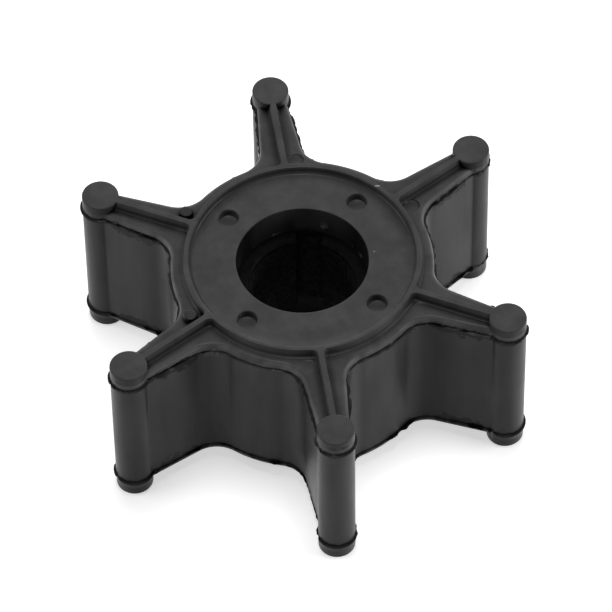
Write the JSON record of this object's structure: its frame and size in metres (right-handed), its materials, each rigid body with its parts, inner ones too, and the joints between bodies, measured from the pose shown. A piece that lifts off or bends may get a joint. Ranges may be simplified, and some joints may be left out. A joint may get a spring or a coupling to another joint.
{
  "type": "pump impeller",
  "caption": "Rubber water-pump impeller with straight bulb-tipped radial vanes, raised sealing rings and a keyed steel drive bush bonded inside the hub.",
  "frame": {"origin": "on the shaft axis, in the plane of the lower end face on which the impeller stands", "axes": "+Z along the shaft axis, from the lower to the upper end face; +X along the middle of one vane"},
  "size_m": [0.0566, 0.0496, 0.0224],
  "materials": {
    "rubber": "satin moulded",
    "bush_steel": "turned"
  },
  "bodies": {
    "root": {"rubber_impeller": "rubber", "drive_bush": "bush_steel"}
  },
  "joints": []
}
